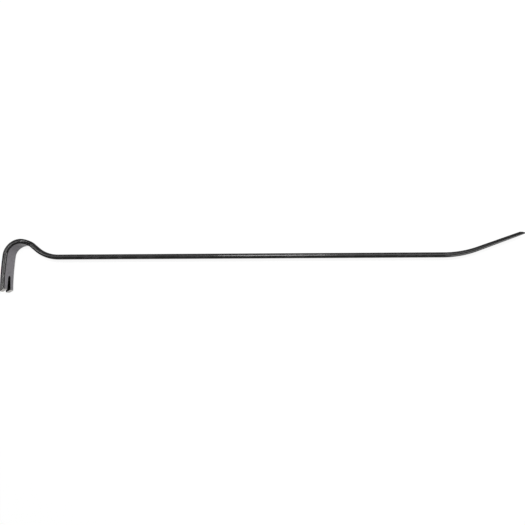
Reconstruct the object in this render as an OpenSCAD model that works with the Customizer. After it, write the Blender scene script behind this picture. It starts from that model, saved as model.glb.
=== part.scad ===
// Gooseneck pry bar, forged from one length of octagonal steel bar: a neck and arch that spread
// into a slotted claw at one end, and a heel that draws out into a flat chisel at the other.
// The bar lies on its side. X runs along the shaft towards the chisel, the bends lie in the XY
// plane, Z is up, and the origin is under the middle of the whole bar.

/* [Bar] */
// Length over everything, from the claw's back to the chisel's edge
overall_l = 1500; // [900:10:1800]
// Width of the octagonal bar across its flats
bar_af = 14.5; // [12:0.5:18]
// Rounding of the bar's long edges
edge_r = 1.8; // [0.8:0.1:2]

/* [Gooseneck] */
// Angle at which the neck rises from the shaft
neck_angle = 38; // [30:1:45]
// Radius of the neck bend, to the middle of the bar
neck_r = 105; // [80:1:130]
// Straight length between the neck bend and the arch
neck_l = 23; // [10:0.5:40]
// Radius of the arch, to the middle of the bar
arch_r = 40; // [36:1:55]
// Width of the bar where it has spread in the arch
arch_w = 40; // [30:1:44]
// Share of the arch over which the bar spreads
spread_share = 0.36; // [0.3:0.02:0.8]

/* [Claw] */
// Length of the claw below the arch
claw_l = 106.5; // [80:0.5:130]
// Angle through which the claw curves on below the arch
claw_curl = 8; // [2:0.5:14]
// Width of the claw at its root below the arch
claw_root_w = 38; // [28:1:42]
// Width of the claw across its two tips
claw_tip_w = 40; // [34:1:50]
// Thickness of the claw at its root
claw_t = 15; // [12:0.5:16]
// Thickness of the claw at its tips, before they are ground
claw_tip_t = 13; // [11:0.5:15]
// Chamfer along the edges of the claw's inner face
inner_chamfer = 2.4; // [1.5:0.1:3.5]
// How far down the claw's sides the chamfers along its back reach
back_chamfer_down = 4.6; // [2:0.1:5.5]
// How far across the claw's back the same chamfers reach
back_chamfer_in = 2; // [1.2:0.1:4]
// Angle between the ground tips and the claw's back
tip_bevel = 64; // [40:1:70]
// Blunt land left at the tips
tip_land = 1; // [0.5:0.1:2]
// Rounding of the two outer corners of the tips
tip_corner_r = 4; // [2:0.5:6]

/* [Nail slot] */
// Length of the slot from the tips
slot_l = 45; // [30:1:60]
// Width of the slot between the tips
slot_mouth_w = 12; // [9:0.5:16]
// Radius of the slot's closed end
slot_end_r = 3; // [1.6:0.1:3.5]
// Extra width of the countersunk slot on each side, at the inner face
slot_sink = 1.5; // [0.8:0.1:2.2]

/* [Chisel] */
// Angle at which the chisel rises from the shaft
chisel_angle = 19.5; // [10:0.5:28]
// Radius of the heel bend, to the middle of the bar
heel_r = 285; // [150:5:400]
// Length of the straight blade
blade_l = 145; // [100:1:200]
// Width of the blade at its edge
blade_w = 24; // [18:0.5:32]
// Thickness of the blade just before its edge is ground
blade_t = 10; // [7:0.5:11]
// Chamfer along the blade's edges, at its end
blade_chamfer = 2; // [1.2:0.1:2.5]
// Angle of the ground cutting bevel
edge_bevel = 30; // [29:1:45]
// Blunt land left at the cutting edge
edge_land = 0.6; // [0.3:0.1:1.2]

/* [Hidden] */
$fn = 96;

lacquer = "#1c1c1e";
arch_rings = 40;
claw_rings = 8;
heel_rings = 12;
corner_steps = 2;
over = 5;

// Corner cut that makes a square of the bar's size a regular octagon, and the claw's own chamfers,
// each as [down the side, across the face]
bar_chamfer = bar_af * (1 - tan(22.5)) / 2 * [1, 1];
claw_inner = inner_chamfer * [1, 1];
claw_back = [back_chamfer_down, back_chamfer_in];

// Middle line of the gooseneck, from the shaft's end at x = 0, y = 0
neck_end = [-neck_r * sin(neck_angle), neck_r * (1 - cos(neck_angle))];
arch_start = neck_end + neck_l * [-cos(neck_angle), sin(neck_angle)];
arch_mid = arch_start - arch_r * [sin(neck_angle), cos(neck_angle)];
arch_from = 90 - neck_angle;
arch_to = 180;
claw_start = arch_mid - [arch_r, 0];

// Middle line of the claw, which curves on from the arch in a wider arc
claw_r = claw_l / (claw_curl * PI / 180);
claw_mid = claw_start + [claw_r, 0];
claw_to = arch_to + claw_curl;
claw_out = [cos(claw_to), sin(claw_to)];
claw_end = claw_mid + claw_r * claw_out;

// Middle line of the chisel, from the shaft's end, where the length of bend and blade is its run
blade_dir = [cos(chisel_angle), sin(chisel_angle)];
blade_up = [-sin(chisel_angle), cos(chisel_angle)];
heel_run = heel_r * chisel_angle * PI / 180;
chisel_run = heel_run + blade_l;
heel_end = [heel_r * sin(chisel_angle), heel_r * (1 - cos(chisel_angle))];
blade_end = heel_end + blade_l * blade_dir;
blade_taper = (bar_af - blade_t) / chisel_run / 2;
bevel_l = (blade_t - edge_land) / (tan(edge_bevel) - blade_taper);
bevel_top = blade_end - bevel_l * blade_dir + (blade_t / 2 + bevel_l * blade_taper) * blade_up;

// The shaft takes what the two ends leave of the length
hook_reach = claw_t / 2 - claw_start[0];
chisel_reach = (blade_end - blade_up * blade_t / 2)[0];
shaft_l = overall_l - hook_reach - chisel_reach;

// Highest and lowest points of the bends, and the shift that centres the bar over the origin
top_share = (90 - arch_from) / (arch_to - arch_from);
top_y = max(arch_mid[1] + arch_r + mix(bar_af, claw_t, top_share) / 2, bevel_top[1]);
bottom_y = (claw_end + claw_out * claw_tip_t / 2)[1];
bar_shift = [hook_reach - overall_l / 2, -(top_y + bottom_y) / 2, claw_tip_w / 2];

function mix(a, b, share) = a + (b - a) * share;
function ease(share) = share * share * (3 - 2 * share);

// Outline with every corner rounded, over an equal length of the two sides that meet there
function rounded(corners) =
    let (
        count = len(corners),
        run = edge_r * tan(22.5)
    )
    [
        for (i = [0:count - 1])
            let (
                corner = corners[i],
                before = corners[(i + count - 1) % count] - corner,
                after = corners[(i + 1) % count] - corner,
                from = corner + run * before / norm(before),
                to = corner + run * after / norm(after)
            )
            for (step = [0:corner_steps])
                let (share = step / corner_steps)
                mix(mix(from, corner, share), mix(corner, to, share), share)
    ];

// Section of the bar as [towards the back, across] points: a block w across and t thick, chamfered
// along its back and its inner face, with every corner rounded
function bar_section(w, t, back, inner) =
    let (
        upper = [
            [t / 2, w / 2 - back[1]],
            [t / 2 - back[0], w / 2],
            [inner[0] - t / 2, w / 2],
            [-t / 2, w / 2 - inner[1]]
        ],
        lower = [for (i = [3:-1:0]) [upper[i][0], -upper[i][1]]]
    )
    rounded(concat(upper, lower));

// The section set square to the middle line at a point, with its back towards the given angle
function ring(at, back_angle, section) = [
    for (p = section) [at[0] + p[0] * cos(back_angle), at[1] + p[0] * sin(back_angle), p[1]]
];

// Section at a share of the way round the arch, which spreads first and then draws in to the claw
function arch_section(share) =
    let (
        spread = ease(min(1, share / spread_share)),
        draw_in = ease(max(0, share - spread_share) / (1 - spread_share))
    )
    bar_section(
        mix(bar_af, mix(arch_w, claw_root_w, draw_in), spread),
        mix(bar_af, claw_t, share),
        mix(bar_chamfer, claw_back, share),
        mix(bar_chamfer, claw_inner, share)
    );

// Section at a share of the way down the claw, which flares and thins towards its tips
function claw_section(share) =
    bar_section(
        mix(claw_root_w, claw_tip_w, share),
        mix(claw_t, claw_tip_t, share),
        claw_back,
        claw_inner
    );

// Section at a distance along the chisel's middle line, drawn out evenly to the blade's size
function chisel_section(run) =
    let (
        share = run / chisel_run,
        chamfer = mix(bar_chamfer, blade_chamfer * [1, 1], share)
    )
    bar_section(mix(bar_af, blade_w, share), mix(bar_af, blade_t, share), chamfer, chamfer);

// Closed solid through rings of equally many points
module loft(rings) {
    count = len(rings[0]);
    last = len(rings) - 1;
    sides = [
        for (i = [0:last - 1])
            for (j = [0:count - 1])
                let (
                    a = i * count + j,
                    b = i * count + (j + 1) % count
                )
                each [[a, b, a + count], [b, b + count, a + count]]
    ];
    first_cap = [for (j = [count - 1:-1:0]) j];
    last_cap = [for (j = [0:count - 1]) last * count + j];
    polyhedron([for (r = rings) each r], concat(sides, [first_cap, last_cap]));
}

// Section of the plain bar, for its straight and bent stretches
module bar_profile() {
    polygon(bar_section(bar_af, bar_af, bar_chamfer, bar_chamfer));
}

// Outline of the nail slot, from beyond the tips at x = 0 back to its round end, grown all round
module slot_outline(grow) {
    end_x = slot_end_r - slot_l;
    half_end = slot_end_r + grow;
    half_mouth = slot_mouth_w / 2 + grow;
    flare = (slot_mouth_w / 2 - slot_end_r) / -end_x;
    translate([end_x, 0])
        circle(half_end);
    polygon([
        [end_x, -half_end],
        [0, -half_mouth],
        [over, -half_mouth - over * flare],
        [over, half_mouth + over * flare],
        [0, half_mouth],
        [end_x, half_end]
    ]);
}

// Slot through the claw, with sides that open out from mid thickness to the inner face
module nail_slot() {
    slope = slot_sink / (claw_t / 2);
    rotate([90, 0, 0])
        linear_extrude(2 * claw_t, center = true)
            slot_outline(0);
    hull()
        for (depth = [-claw_t / 4, claw_t])
            translate([0, depth, 0])
                rotate([90, 0, 0])
                    linear_extrude(0.01)
                        slot_outline(depth * slope);
}

// What is ground off the claw's end, so that its tips meet the back
module tip_grinding() {
    translate([0, tip_land - claw_tip_t / 2, 0])
        rotate(90 - tip_bevel)
            translate([0, -over, -claw_tip_w])
                cube([3 * claw_t, 3 * claw_t, 2 * claw_tip_w]);
}

// What is rounded off one outer corner of the tips
module tip_corner() {
    rotate([90, 0, 0])
        linear_extrude(2 * claw_t, center = true)
            translate([-tip_corner_r, claw_tip_w / 2 - tip_corner_r])
                difference() {
                    square(tip_corner_r + over);
                    circle(tip_corner_r);
                }
}

// Curved claw, flared and thinned to its tips, slotted for nails and ground at its end
module claw() {
    color(lacquer)
        translate(bar_shift)
            difference() {
                loft([
                    for (i = [0:claw_rings])
                        let (
                            share = i / claw_rings,
                            angle = mix(arch_to, claw_to, share)
                        )
                        ring(claw_mid + claw_r * [cos(angle), sin(angle)], angle, claw_section(share))
                ]);
                translate(claw_end)
                    rotate(claw_to + 90) {
                        nail_slot();
                        tip_grinding();
                        tip_corner();
                        mirror([0, 0, 1])
                            tip_corner();
                    }
            }
}

// Short straight up from the neck, and the arch over which the bar spreads to the claw
module gooseneck() {
    straight_ring = ring(neck_end, arch_from, arch_section(0));
    bent_rings = [
        for (i = [0:arch_rings])
            let (
                share = i / arch_rings,
                angle = mix(arch_from, arch_to, share)
            )
            ring(arch_mid + arch_r * [cos(angle), sin(angle)], angle, arch_section(share))
    ];
    color(lacquer)
        translate(bar_shift)
            loft(concat([straight_ring], bent_rings));
}

// Bend that lifts the bar from the shaft's line
module neck_bend() {
    color(lacquer)
        translate(bar_shift + [0, neck_r, 0])
            rotate(270 - neck_angle)
                rotate_extrude(angle = neck_angle)
                    translate([neck_r, 0])
                        bar_profile();
}

// Straight octagonal shaft
module shaft() {
    color(lacquer)
        translate(bar_shift)
            rotate([90, 0, 90])
                linear_extrude(shaft_l)
                    bar_profile();
}

// Heel, where the bar bends up and starts to flatten
module chisel_bend() {
    color(lacquer)
        translate(bar_shift + [shaft_l, 0, 0])
            loft([
                for (i = [0:heel_rings])
                    let (angle = chisel_angle * (1 - i / heel_rings))
                    ring(
                        heel_r * [sin(angle), 1 - cos(angle)],
                        angle + 90,
                        chisel_section(angle / chisel_angle * heel_run)
                    )
            ]);
}

// Flat blade, ground on its upper side to the cutting edge
module chisel_blade() {
    color(lacquer)
        translate(bar_shift + [shaft_l, 0, 0])
            difference() {
                loft([
                    ring(blade_end, chisel_angle + 90, chisel_section(chisel_run)),
                    ring(heel_end, chisel_angle + 90, chisel_section(heel_run))
                ]);
                translate(blade_end)
                    rotate(chisel_angle)
                        translate([0, edge_land - blade_t / 2, 0])
                            rotate(-edge_bevel)
                                translate([-4 * bevel_l, 0, -blade_w])
                                    cube([6 * bevel_l, 4 * blade_t, 2 * blade_w]);
            }
}

claw();
gooseneck();
neck_bend();
shaft();
chisel_bend();
chisel_blade();
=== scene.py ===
from math import cos, pi, radians, sin, tan

import bmesh
import bpy
import numpy as np
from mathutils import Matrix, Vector


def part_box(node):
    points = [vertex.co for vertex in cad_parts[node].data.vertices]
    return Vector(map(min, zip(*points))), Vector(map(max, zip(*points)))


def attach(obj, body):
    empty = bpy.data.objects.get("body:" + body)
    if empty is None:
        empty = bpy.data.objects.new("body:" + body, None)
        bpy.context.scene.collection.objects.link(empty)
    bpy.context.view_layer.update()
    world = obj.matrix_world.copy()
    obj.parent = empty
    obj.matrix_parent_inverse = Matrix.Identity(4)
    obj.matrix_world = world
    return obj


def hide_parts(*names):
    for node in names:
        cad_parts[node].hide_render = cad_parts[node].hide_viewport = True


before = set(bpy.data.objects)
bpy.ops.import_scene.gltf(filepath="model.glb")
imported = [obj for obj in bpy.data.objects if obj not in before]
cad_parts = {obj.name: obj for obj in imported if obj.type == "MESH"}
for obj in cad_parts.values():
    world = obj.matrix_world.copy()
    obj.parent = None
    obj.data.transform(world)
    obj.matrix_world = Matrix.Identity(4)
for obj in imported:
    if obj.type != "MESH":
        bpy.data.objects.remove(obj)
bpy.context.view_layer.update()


# Shaft: the straight octagonal spring-steel bar that is held in use. The whole tool is forged from
# this one bar, so each other piece starts as a straight length of it too, is forged to its own
# section while it is straight, and is then bent to run on from its neighbour without a joint.
shaft_low, shaft_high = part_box("shaft")
bar_flats = shaft_high.z - shaft_low.z
bar_y = (shaft_low.y + shaft_high.y) / 2
bar_z = (shaft_low.z + shaft_high.z) / 2
eighth_turn = radians(45)
octagon_flat = bar_flats * tan(eighth_turn / 2)
edge_radius = 0.0018
crown = 0.0001
rolling_depth = 0.0002
rolling_length = 0.03
most_cuts = 100
end_reach = bar_flats / 50
end_facing = 0.99
wide_face = bar_flats ** 2 / 2
sharp_turn = eighth_turn / 4
crisp_turn = radians(32)


def take_up(piece):
    """Select one piece alone, as the one that is worked on."""
    bpy.ops.object.select_all(action="DESELECT")
    piece.select_set(True)
    bpy.context.view_layer.objects.active = piece


def pick(test):
    """Select the points of the mesh in hand whose place passes the test, and nothing else."""
    mesh = bmesh.from_edit_mesh(bpy.context.edit_object.data)
    for vert in mesh.verts:
        vert.select = test(vert.co)
    mesh.select_flush_mode()
    bmesh.update_edit_mesh(bpy.context.edit_object.data)


def bar_length(name, start, end, rings):
    """A straight, sharp-edged length of the octagonal bar along X, open at its ends, left in edit mode."""
    middle = (start, bar_y, bar_z)
    bpy.ops.object.select_all(action="DESELECT")
    bpy.ops.mesh.primitive_circle_add(
        vertices=8, radius=bar_flats / 2 / cos(eighth_turn / 2), location=middle, rotation=(0, pi / 2, 0)
    )
    piece = bpy.context.object
    piece.name = piece.data.name = name
    bpy.ops.object.transform_apply(location=True, rotation=True, scale=True)
    bpy.ops.object.mode_set(mode="EDIT")
    bpy.ops.mesh.select_all(action="SELECT")
    bpy.ops.transform.rotate(value=eighth_turn / 2, orient_axis="X", center_override=middle)
    bpy.ops.mesh.subdivide(number_cuts=2)
    bpy.ops.mesh.extrude_region_move(TRANSFORM_OT_translate={"value": (end - start, 0, 0)})
    bpy.ops.mesh.select_mode(type="EDGE")
    mesh = bmesh.from_edit_mesh(piece.data)
    for edge in mesh.edges:
        edge.select_set(abs(edge.verts[0].co.x - edge.verts[1].co.x) > bar_flats)
    bmesh.update_edit_mesh(piece.data)
    bpy.ops.mesh.subdivide(number_cuts=min(rings, most_cuts))
    bpy.ops.mesh.select_mode(type="VERT")
    return piece


def face_outwards():
    """Turn all faces of the mesh in hand outwards."""
    bpy.ops.mesh.select_all(action="SELECT")
    bpy.ops.mesh.normals_make_consistent(inside=False)


def round_long_edges():
    """Crown the flats a little, as rolling and hammering leave them, and round the edges between them."""
    face_outwards()
    bpy.ops.mesh.select_all(action="DESELECT")
    bpy.ops.mesh.select_mode(type="EDGE")
    bpy.ops.mesh.edges_select_sharp(sharpness=eighth_turn / 3)
    bpy.ops.transform.shrink_fatten(value=-crown)
    bpy.ops.mesh.bevel(offset=edge_radius * tan(eighth_turn / 2), segments=3, affect="EDGES")
    bpy.ops.mesh.select_mode(type="VERT")


def roll_surface(piece):
    """The faint unevenness of hot-rolled and hammered steel, the same where two pieces meet."""
    bpy.ops.object.mode_set(mode="OBJECT")
    uneven = piece.modifiers.new("uneven", "DISPLACE")
    uneven.texture = rolled_steel
    uneven.texture_coords = "LOCAL"
    uneven.strength = rolling_depth
    bpy.ops.object.modifier_apply(modifier=uneven.name)


def close_ends(*ends):
    """Close the open ends of a length at the given places along X, and turn all faces outwards."""
    bpy.ops.object.mode_set(mode="EDIT")
    for end in ends:
        pick(lambda place: abs(place.x - end) < end_reach)
        bpy.ops.mesh.edge_face_add()
    face_outwards()
    bpy.ops.object.mode_set(mode="OBJECT")


def no_rub_no_sheen(place, facing):
    """How much a stretch of the bar is rubbed, and given the painted sheen, where nails and boards don't
    reach it: not at all.
    """
    return 0


def note_surface(piece, rub_and_sheen):
    """Keep for the finish each point's place on the straight bar, and for each face's corners how sharp an
    edge they lie on and how much they are rubbed and carry the painted sheen, as the given function of
    their place and facing."""
    mesh = bmesh.new()
    mesh.from_mesh(piece.data)
    mesh.normal_update()
    grain, turned, sharp, worn = [], [], [], []
    for vert in mesh.verts:
        turns = [0]
        for edge in vert.link_edges:
            sides = [face.normal for face in edge.link_faces if abs(face.normal.x) < end_facing]
            if len(sides) == 2:
                turns.append(sides[0].angle(sides[1], 0))
        grain.extend(vert.co)
        turned.append(min(1, max(turns) / sharp_turn))
    for face in mesh.faces:
        wide = face.calc_area() > wide_face
        sharp.extend(0 if wide else turned[corner.vert.index] for corner in face.loops)
        worn.extend(rub_and_sheen(corner.vert.co, face.normal) for corner in face.loops)
    mesh.free()
    attributes = piece.data.attributes
    attributes.new("grain", "FLOAT_VECTOR", "POINT").data.foreach_set("vector", grain)
    attributes.new("sharp", "FLOAT", "CORNER").data.foreach_set("value", sharp)
    attributes.new("rub_and_sheen", "FLOAT", "CORNER").data.foreach_set("value", worn)


def smooth(piece):
    """Shade the rounded edges smooth and keep the cut ones crisp."""
    take_up(piece)
    bpy.ops.object.shade_smooth_by_angle(angle=crisp_turn)


rolled_steel = bpy.data.textures.new("rolled_steel", "CLOUDS")
rolled_steel.noise_scale = rolling_length

shaft = bar_length("octagonal_shaft", shaft_low.x, shaft_high.x, most_cuts)
round_long_edges()
roll_surface(shaft)
close_ends(shaft_low.x, shaft_high.x)
note_surface(shaft, no_rub_no_sheen)
smooth(shaft)


def add_node(tree, kind, inputs, **settings):
    """A shader node with its settings, and each input, by name or number, set to a value or linked."""
    node = tree.nodes.new("ShaderNode" + kind)
    for name, value in settings.items():
        setattr(node, name, value)
    for key, value in inputs.items():
        if isinstance(value, bpy.types.NodeSocket):
            tree.links.new(value, node.inputs[key])
        else:
            node.inputs[key].default_value = value
    return node


def noise(tree, place, scale, detail):
    """Noise between about 0.3 and 0.7 over a place."""
    return add_node(tree, "TexNoise", {"Vector": place, "Scale": scale, "Detail": detail}).outputs["Fac"]


def spread(tree, value, low, high, to_low=0.0, to_high=1.0):
    """A value's stretch from low to high, eased onto another stretch."""
    inputs = {"Value": value, "From Min": low, "From Max": high, "To Min": to_low, "To Max": to_high}
    return add_node(tree, "MapRange", inputs, interpolation_type="SMOOTHSTEP").outputs["Result"]


def blend_colour(tree, share, first, second):
    """A share of the way from one colour to another, by the colour sockets of a Mix node."""
    return add_node(tree, "Mix", {0: share, 6: first, 7: second}, data_type="RGBA").outputs[2]


def maths(tree, operation, first, second):
    """One sum with two values."""
    return add_node(tree, "Math", {0: first, 1: second}, operation=operation).outputs[0]


def new_material(name):
    """A node material, with its tree and its shader."""
    material = bpy.data.materials.new(name)
    material.use_nodes = True
    tree = material.node_tree
    return material, tree, tree.nodes["Principled BSDF"]


# Black lacquer, dipped over the rolled and forged steel: near black, with a fine orange peel and faint
# streaks along the bar. It is thin and grey where nails and boards rub it along its edges. On the hook's
# inner face the cool, faintly purple grey is partly such rubbed lacquer and partly a painted sheen, a
# painted reflection of the bright floor. It is chipped along its edges, most of all towards the two ends
# that do the work.
deep_black = (0.002, 0.002, 0.0021, 1)
faded_black = (0.0045, 0.0043, 0.0043, 1)
# The grey below is rubbed lacquer on the edges, and on the hook's inner face also a painted sheen that
# stands in for the floor's reflection.
rubbed_and_sheen_grey = (0.188, 0.181, 0.193, 1)
chip_steel = (0.19, 0.182, 0.175, 1)
handled_reach = 0.45
worked_reach = 0.72

lacquer, tree, shader = new_material("black_lacquer")
grain = add_node(tree, "Attribute", {}, attribute_name="grain").outputs["Vector"]
sharp = add_node(tree, "Attribute", {}, attribute_name="sharp").outputs["Fac"]
rub_and_sheen = add_node(tree, "Attribute", {}, attribute_name="rub_and_sheen").outputs["Fac"]
tone = spread(tree, noise(tree, grain, scale=24, detail=4), 0.3, 0.7)
black = blend_colour(tree, tone, deep_black, faded_black)
along = add_node(tree, "Mapping", {"Vector": grain, "Scale": (14, 330, 330)}).outputs["Vector"]
streak = noise(tree, along, scale=1, detail=4)
scale_pits = noise(tree, grain, scale=170, detail=5)
peel = noise(tree, grain, scale=1300, detail=1)
hammering = noise(tree, grain, scale=75, detail=2)

patchy = spread(tree, noise(tree, grain, scale=95, detail=5), 0.2, 0.55, to_low=0.72)
# The hook's inner face: rubbed lacquer and painted sheen together, in patches.
face_rub_and_sheen = maths(tree, "MULTIPLY", rub_and_sheen, patchy)
edge = maths(tree, "POWER", sharp, 3)
broken = spread(tree, noise(tree, grain, scale=45, detail=4), 0.45, 0.7, to_high=0.3)
edge_rub = maths(tree, "MULTIPLY", edge, broken)
thin_and_sheen = maths(tree, "MAXIMUM", face_rub_and_sheen, edge_rub)
greyed = blend_colour(tree, thin_and_sheen, black, rubbed_and_sheen_grey)

along_bar = add_node(tree, "SeparateXYZ", {"Vector": grain}).outputs["X"]
from_middle = maths(tree, "ABSOLUTE", along_bar, 0)
worked = spread(tree, from_middle, handled_reach, worked_reach, to_low=0.72)
knocks = spread(tree, noise(tree, grain, scale=26, detail=3), 0.44, 0.68, to_low=0.2, to_high=0.43)
chip_line = maths(tree, "MULTIPLY", edge, maths(tree, "MULTIPLY", worked, knocks))
flakes = noise(tree, grain, scale=300, detail=5)
chips = spread(tree, maths(tree, "ADD", flakes, chip_line), 0.94, 1)
tree.links.new(blend_colour(tree, chips, greyed, chip_steel), shader.inputs["Base Color"])

bared = maths(tree, "MAXIMUM", maths(tree, "MULTIPLY", thin_and_sheen, 0.6), chips)
tree.links.new(bared, shader.inputs["Metallic"])
dull = maths(tree, "MULTIPLY", maths(tree, "MAXIMUM", thin_and_sheen, chips), 0.24)
rough = maths(tree, "ADD", spread(tree, streak, 0.3, 0.7, to_low=0.13, to_high=0.21), dull)
tree.links.new(rough, shader.inputs["Roughness"])

fine_height = maths(tree, "ADD", maths(tree, "MULTIPLY", peel, 0.12), scale_pits)
height = maths(tree, "ADD", fine_height, maths(tree, "MULTIPLY", hammering, 1.6))
bump = add_node(tree, "Bump", {"Height": height, "Strength": 0.18, "Distance": 0.0003})
tree.links.new(bump.outputs["Normal"], shader.inputs["Normal"])
shader.inputs["IOR"].default_value = 1.5
shader.inputs["Specular IOR Level"].default_value = 0.16
shaft.data.materials.append(lacquer)
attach(shaft, "root")
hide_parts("shaft")


# Neck bend: the first bend of the gooseneck, where the hot bar is pulled up out of the shaft's line.
# The steel keeps its octagon here. The same middle line then carries on over the arch to the claw.
neck_angle = radians(38)
neck_radius = 0.105
neck_straight = 0.023
arch_radius = 0.04
claw_length = 0.1065
claw_curl = radians(8)
line_step = 0.001
neck_rings = 30


def middle_line(name, start, way, stretches):
    """The bent bar's middle line, from a start one way or the other along X, through stretches that are
    each a length and the angle that it turns through. It lies ready at the end that has the lowest X."""
    heading = 0
    places = [start.copy()]
    for length, turn in stretches:
        steps = round(length / line_step)
        for step in range(steps):
            heading += turn / steps / 2
            places.append(places[-1] + way * length / steps * Vector((cos(heading), sin(heading), 0)))
            heading += turn / steps / 2
    straight_end = start.copy()
    if way < 0:
        places.reverse()
        straight_end.x -= sum(length for length, turn in stretches)
    curve = bpy.data.curves.new(name, "CURVE")
    curve.dimensions = "2D"
    spline = curve.splines.new("POLY")
    spline.points.add(len(places) - 1)
    for point, place in zip(spline.points, places):
        point.co = (*(place - straight_end), 1)
    line = bpy.data.objects.new(name, curve)
    line.location = straight_end
    bpy.context.scene.collection.objects.link(line)
    return line


def bend(piece, line):
    """Bend a straight piece along a middle line."""
    take_up(piece)
    bending = piece.modifiers.new("bend", "CURVE")
    bending.object = line
    bending.deform_axis = "POS_X"
    bpy.ops.object.modifier_apply(modifier=bending.name)


neck_run = neck_radius * neck_angle
arch_turn = pi / 2 + neck_angle
arch_run = arch_radius * arch_turn
hook_line = middle_line(
    "hook_line",
    Vector((shaft_low.x, bar_y, bar_z)),
    -1,
    [(neck_run, -neck_angle), (neck_straight, 0), (arch_run, arch_turn), (claw_length, claw_curl)],
)
neck_end = shaft_low.x - neck_run

neck_bend = bar_length("neck_bend_bar", neck_end, shaft_low.x, neck_rings)
round_long_edges()
roll_surface(neck_bend)
close_ends(neck_end, shaft_low.x)
note_surface(neck_bend, no_rub_no_sheen)
bend(neck_bend, hook_line)
smooth(neck_bend)
neck_bend.data.materials.append(lacquer)
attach(neck_bend, "root")
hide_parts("neck_bend")


# Gooseneck: a short straight and the arch that takes the strain when a nail is drawn. The smith
# spreads the bar sideways here, so the octagon's flats run on into the chamfers of the wide claw.
arch_width = 0.04
spread_share = 0.36
claw_root_width = 0.038
claw_thick = 0.015
back_chamfer = np.array((0.0046, 0.002))
inner_chamfer = np.array((0.0024, 0.0024))
octagon_chamfer = np.array((1, 1)) * (bar_flats - octagon_flat) / 2
arch_rings = 60
inner_facing = -0.95
# How far the rubbing and the painted sheen reach along the arch. The low start is painted shade towards the
# neck.
arch_shares = (0, 0.3, 0.7, 1)
arch_rub_and_sheen = (0, 0.55, 0.75, 1)


def part_way(first, second, share):
    """A share of the way from one size to another."""
    return first + (second - first) * share


def ease(share):
    """A share that starts and ends gently."""
    return share * share * (3 - 2 * share)


def forge(section):
    """Work the plain octagon to another section, given at each place along X as a width, a thickness, and
    the chamfers of its back and its inner side, each by how far down the side and across it goes."""
    mesh = bmesh.from_edit_mesh(bpy.context.edit_object.data)
    half_flat = octagon_flat / 2
    half_bar = bar_flats / 2
    for vert in mesh.verts:
        width, thick, back, inner = section(vert.co.x)
        out = vert.co.y - bar_y
        side = vert.co.z - bar_z
        edge = np.interp(out, (-half_flat, half_flat), (inner[1], back[1]))
        levels = (-thick / 2, inner[0] - thick / 2, thick / 2 - back[0], thick / 2)
        vert.co.y = bar_y + np.interp(out, (-half_bar, -half_flat, half_flat, half_bar), levels)
        reach = np.interp(abs(side), (0, half_flat, half_bar), (0, width / 2 - edge, width / 2))
        vert.co.z = bar_z + (reach if side > 0 else -reach)
    bmesh.update_edit_mesh(bpy.context.edit_object.data)


arch_start = neck_end - neck_straight
arch_end = arch_start - arch_run


def arch_section(x):
    """The section of the gooseneck, which is spread early on the arch and then drawn in a little."""
    share = min(1, max(0, (arch_start - x) / arch_run))
    spreading = ease(min(1, share / spread_share))
    drawing_in = ease(max(0, share - spread_share) / (1 - spread_share))
    wide = part_way(arch_width, claw_root_width, drawing_in)
    return (
        part_way(bar_flats, wide, spreading),
        part_way(bar_flats, claw_thick, share),
        part_way(octagon_chamfer, back_chamfer, share),
        part_way(octagon_chamfer, inner_chamfer, share),
    )


def rub_and_sheen_inside(place, facing):
    """How much the hook's inner face is rubbed and carries a painted sheen, a painted reflection of the
    floor: not at the neck, rising over the arch so that a painted shade darkens the arch's inner face
    towards the neck, and fully from the arch's end on.
    """
    share = min(1, max(0, (arch_start - place.x) / arch_run))
    return np.interp(share, arch_shares, arch_rub_and_sheen) if facing.y < inner_facing else 0


gooseneck = bar_length("gooseneck_arch", arch_end, neck_end, arch_rings)
forge(arch_section)
round_long_edges()
roll_surface(gooseneck)
close_ends(arch_end, neck_end)
note_surface(gooseneck, rub_and_sheen_inside)
bend(gooseneck, hook_line)
smooth(gooseneck)
gooseneck.data.materials.append(lacquer)
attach(gooseneck, "root")
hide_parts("gooseneck")


# Claw: the hook's spread end, which grips nails. Its tapering slot is countersunk from the inner face
# for the nail's head, its tips are ground to a bevel that meets the back, and it is curved a little.
claw_tip_width = 0.04
claw_tip_thick = 0.013
slot_length = 0.045
slot_mouth = 0.012
slot_end_radius = 0.003
slot_sink = 0.0015
slot_over = 0.005
slot_reach = slot_end_radius / 50
tip_bevel = radians(64)
tip_land = 0.001
tip_corner = 0.004
tip_corner_flats = 4
claw_rings = 44
tip_x = arch_end - claw_length


def claw_section(x):
    """The section of the claw, which widens and thins evenly towards its tips."""
    share = min(1, max(0, (arch_end - x) / claw_length))
    width = part_way(claw_root_width, claw_tip_width, share)
    return width, part_way(claw_thick, claw_tip_thick, share), back_chamfer, inner_chamfer


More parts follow.
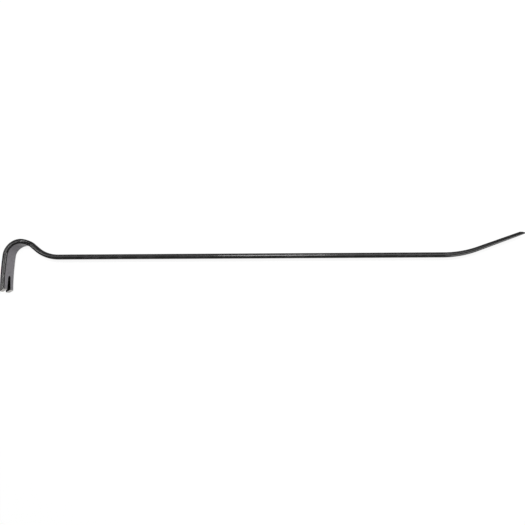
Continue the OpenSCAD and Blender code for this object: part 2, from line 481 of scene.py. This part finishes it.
def slot_cutter(deep):
    """A long wedge with a round end, straight from the back to mid thickness, then opening out."""
    end = (tip_x + slot_length - slot_end_radius, bar_y, bar_z)
    flare = (slot_mouth / 2 - slot_end_radius) / (slot_length - slot_end_radius)
    mouth_radius = slot_mouth / 2 + flare * slot_over
    bpy.ops.object.select_all(action="DESELECT")
    bpy.ops.mesh.primitive_cylinder_add(
        vertices=40,
        radius=slot_end_radius,
        depth=deep,
        location=(end[0], bar_y + deep / 2, bar_z),
        rotation=(pi / 2, 0, 0),
    )
    cutter = bpy.context.object
    cutter.name = "slot_cutter"
    bpy.ops.object.transform_apply(location=True, rotation=True, scale=True)
    bpy.ops.object.mode_set(mode="EDIT")
    pick(lambda place: place.x < end[0] - slot_reach)
    bpy.ops.transform.translate(value=(tip_x - slot_over - end[0], 0, 0))
    bpy.ops.transform.resize(value=(1, 1, mouth_radius / slot_end_radius), center_override=end)
    pick(lambda place: place.y < bar_y + deep / 2)
    bpy.ops.mesh.extrude_region_move(TRANSFORM_OT_translate={"value": (0, -deep, 0)})
    sink = slot_sink * deep / (claw_thick / 2)
    growth = 1 + sink / slot_end_radius
    pick(lambda place: place.y < bar_y - deep / 2 and place.x > tip_x)
    bpy.ops.transform.resize(value=(growth, 1, growth), center_override=end)
    pick(lambda place: place.y < bar_y - deep / 2 and place.x < tip_x)
    bpy.ops.transform.resize(value=(1, 1, 1 + sink / mouth_radius), center_override=end)
    face_outwards()
    bpy.ops.object.mode_set(mode="OBJECT")
    return cutter


def cut_away(piece, cutter):
    """Cut a cutter's shape out of a piece, and throw the cutter away."""
    take_up(piece)
    cut = piece.modifiers.new("cut", "BOOLEAN")
    cut.object = cutter
    cut.operation = "DIFFERENCE"
    cut.solver = "EXACT"
    bpy.ops.object.modifier_apply(modifier=cut.name)
    bpy.data.objects.remove(cutter)


def grind(place, facing):
    """Grind the mesh in hand flat at a place, away from the side that the flat then faces."""
    bpy.ops.mesh.select_all(action="SELECT")
    bpy.ops.mesh.bisect(plane_co=place, plane_no=facing, use_fill=True, clear_outer=True)


claw = bar_length("slotted_claw", tip_x, arch_end, claw_rings)
forge(claw_section)
round_long_edges()
roll_surface(claw)
close_ends(tip_x, arch_end)
cut_away(claw, slot_cutter(claw_thick))
bpy.ops.object.mode_set(mode="EDIT")
for side in (-1, 1):
    middle = Vector((tip_x + tip_corner, bar_y, bar_z + side * (claw_tip_width / 2 - tip_corner)))
    for turn in range(tip_corner_flats):
        angle = pi / 2 * (turn + 0.5) / tip_corner_flats
        facing = Vector((-cos(angle), 0, side * sin(angle)))
        grind(middle + tip_corner * facing, facing)
bevel_facing = Vector((-sin(tip_bevel), -cos(tip_bevel), 0))
grind(Vector((tip_x, bar_y + claw_tip_thick / 2 - tip_land, bar_z)), bevel_facing)
face_outwards()
bpy.ops.object.mode_set(mode="OBJECT")
note_surface(claw, rub_and_sheen_inside)

# The bevels at the tips are ground bright after the bar is lacquered: bare steel with the fine,
# even scratches of the wheel across it, and a few duller blotches.
scratch_steel = (0.32, 0.31, 0.3, 1)
bright_steel = (0.47, 0.46, 0.45, 1)
blotched_steel = (0.3, 0.285, 0.27, 1)
same_way = 0.99

ground_steel, tree, shader = new_material("ground_steel")
grain = add_node(tree, "Attribute", {}, attribute_name="grain").outputs["Vector"]
across = add_node(tree, "Mapping", {"Vector": grain, "Scale": (60, 60, 2600)}).outputs["Vector"]
scratches = noise(tree, across, scale=1, detail=4)
blotches = noise(tree, grain, scale=220, detail=4)
steel = blend_colour(tree, spread(tree, scratches, 0.3, 0.7), scratch_steel, bright_steel)
steel = blend_colour(tree, spread(tree, blotches, 0.5, 0.75), steel, blotched_steel)
tree.links.new(steel, shader.inputs["Base Color"])
rough = spread(tree, blotches, 0.3, 0.7, to_low=0.28, to_high=0.42)
tree.links.new(rough, shader.inputs["Roughness"])
bump = add_node(tree, "Bump", {"Height": scratches, "Strength": 0.2, "Distance": 0.0001})
tree.links.new(bump.outputs["Normal"], shader.inputs["Normal"])
shader.inputs["Metallic"].default_value = 1.0


def bare(piece, facing):
    """Leave bare the faces of a straight piece that look the given way."""
    piece.data.materials.append(ground_steel)
    for face in piece.data.polygons:
        if face.normal.dot(facing) > same_way:
            face.material_index = 1


claw.data.materials.append(lacquer)
bare(claw, bevel_facing)
bend(claw, hook_line)
smooth(claw)
bpy.data.objects.remove(hook_line)
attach(claw, "root")
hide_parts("claw")


# Heel: the long, easy bend at the other end, which the bar rolls on when it prises. The steel starts
# to widen and flatten here towards the chisel.
heel_angle = radians(19.5)
heel_radius = 0.285
blade_length = 0.145
blade_width = 0.024
blade_thick = 0.01
blade_back_chamfer = np.array((0.002, 0.002))
blade_inner_chamfer = np.array((0.0045, 0.003))
heel_rings = 40
heel_run = heel_radius * heel_angle
heel_end = shaft_high.x + heel_run
chisel_run = heel_run + blade_length
chisel_line = middle_line(
    "chisel_line", Vector((shaft_high.x, bar_y, bar_z)), 1, [(heel_run, heel_angle), (blade_length, 0)]
)


def chisel_section(x):
    """The section of the heel and the blade, which widens and thins evenly from the octagon to the edge."""
    share = min(1, max(0, (x - shaft_high.x) / chisel_run))
    return (
        part_way(bar_flats, blade_width, share),
        part_way(bar_flats, blade_thick, share),
        part_way(octagon_chamfer, blade_back_chamfer, share),
        part_way(octagon_chamfer, blade_inner_chamfer, share),
    )


heel = bar_length("chisel_heel", shaft_high.x, heel_end, heel_rings)
forge(chisel_section)
round_long_edges()
roll_surface(heel)
close_ends(shaft_high.x, heel_end)
note_surface(heel, no_rub_no_sheen)
bend(heel, chisel_line)
smooth(heel)
heel.data.materials.append(lacquer)
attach(heel, "root")
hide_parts("chisel_bend")


# Chisel blade: the drawn-out flat end that is driven between boards. Its back is ground to a bare
# cutting bevel, with a blunt land left at the edge.
edge_bevel = radians(30)
edge_land = 0.0006
blade_rings = 50
blade_end = heel_end + blade_length

blade = bar_length("chisel_blade_end", heel_end, blade_end, blade_rings)
forge(chisel_section)
round_long_edges()
roll_surface(blade)
close_ends(heel_end, blade_end)
bpy.ops.object.mode_set(mode="EDIT")
edge_facing = Vector((sin(edge_bevel), cos(edge_bevel), 0))
grind(Vector((blade_end, bar_y - blade_thick / 2 + edge_land, bar_z)), edge_facing)
face_outwards()
bpy.ops.object.mode_set(mode="OBJECT")
note_surface(blade, no_rub_no_sheen)
blade.data.materials.append(lacquer)
bare(blade, edge_facing)
bend(blade, chisel_line)
smooth(blade)
bpy.data.objects.remove(chisel_line)
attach(blade, "root")
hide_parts("chisel_blade")


# Studio: a plain white floor that the bar lies on, an even white sky, four soft panels in a row
# overhead and one low in front of the chisel. The camera stands over the bar and looks a little ahead.
floor_size = 60
floor_paint = (0.8, 0.8, 0.8, 1)
shadow_paint = (0.11, 0.11, 0.11, 1)
floor_glow = 0.9
sky_light = 0.3
sky_seen = 0.95
white = (1, 1, 1, 1)
panel_height = 2.0
down = (0, 0, -1)

bpy.ops.object.select_all(action="DESELECT")
bpy.ops.mesh.primitive_plane_add(size=floor_size)
floor = bpy.context.object
floor.name = "floor"
white_floor, tree, shader = new_material("white_floor")
tree.nodes.remove(shader)


def seen_rays(tree):
    """Which rays show a thing itself, straight, mirrored or through glass, and don't only carry light."""
    paths = add_node(tree, "LightPath", {}).outputs
    direct = maths(tree, "MAXIMUM", paths["Is Camera Ray"], paths["Is Glossy Ray"])
    return maths(tree, "MAXIMUM", direct, paths["Is Transmission Ray"])


seen = seen_rays(tree)
plain = add_node(tree, "BsdfDiffuse", {"Color": floor_paint})
faint = add_node(tree, "BsdfDiffuse", {"Color": shadow_paint})
glow = add_node(tree, "Emission", {"Color": white, "Strength": floor_glow})
bright = add_node(tree, "AddShader", {0: faint.outputs[0], 1: glow.outputs[0]})
choice = add_node(tree, "MixShader", {0: seen, 1: plain.outputs[0], 2: bright.outputs[0]})
tree.links.new(choice.outputs[0], tree.nodes["Material Output"].inputs["Surface"])
floor.data.materials.append(white_floor)

world = bpy.data.worlds.new("studio_sky")
bpy.context.scene.world = world
world.use_nodes = True
tree = world.node_tree
sky = tree.nodes["Background"]
sky.inputs["Color"].default_value = white
strength = spread(tree, seen_rays(tree), 0, 1, to_low=sky_light, to_high=sky_seen)
tree.links.new(strength, sky.inputs["Strength"])


def soft_panel(name, place, looks, width, depth, power):
    """A soft area lamp that looks the given way and that no camera sees."""
    lamp = bpy.data.lights.new(name, "AREA")
    lamp.shape = "RECTANGLE"
    lamp.size = width
    lamp.size_y = depth
    lamp.energy = power
    panel = bpy.data.objects.new(name, lamp)
    panel.location = place
    panel.rotation_euler = Vector(looks).to_track_quat("-Z", "Y").to_euler()
    panel.visible_camera = False
    bpy.context.scene.collection.objects.link(panel)


soft_panel("overhead_panel", (0.05, 0.46, panel_height), down, width=0.92, depth=0.32, power=30)
soft_panel("left_panel", (-1.23, 0.6, panel_height), down, width=1.54, depth=0.4, power=8)
soft_panel("right_panel", (1.16, 0.46, panel_height), down, width=1.2, depth=0.4, power=10)
soft_panel("claw_panel", (-2.3, 0.28, panel_height), down, width=0.52, depth=0.4, power=9)
soft_panel("front_panel", (1.98, -1.34, 0.55), (-1.38, 1.38, -0.51), width=1.2, depth=0.45, power=15)

lens = bpy.data.cameras.new("camera")
lens.sensor_width = 36
lens.lens = 24.293
camera = bpy.data.objects.new("camera", lens)
camera.location = (0.0277, -0.1995, 1.0161)
camera.rotation_euler = (radians(11.305), radians(1.521), radians(-0.006))
bpy.context.scene.collection.objects.link(camera)
bpy.context.scene.camera = camera
bpy.context.scene.view_settings.view_transform = "Standard"
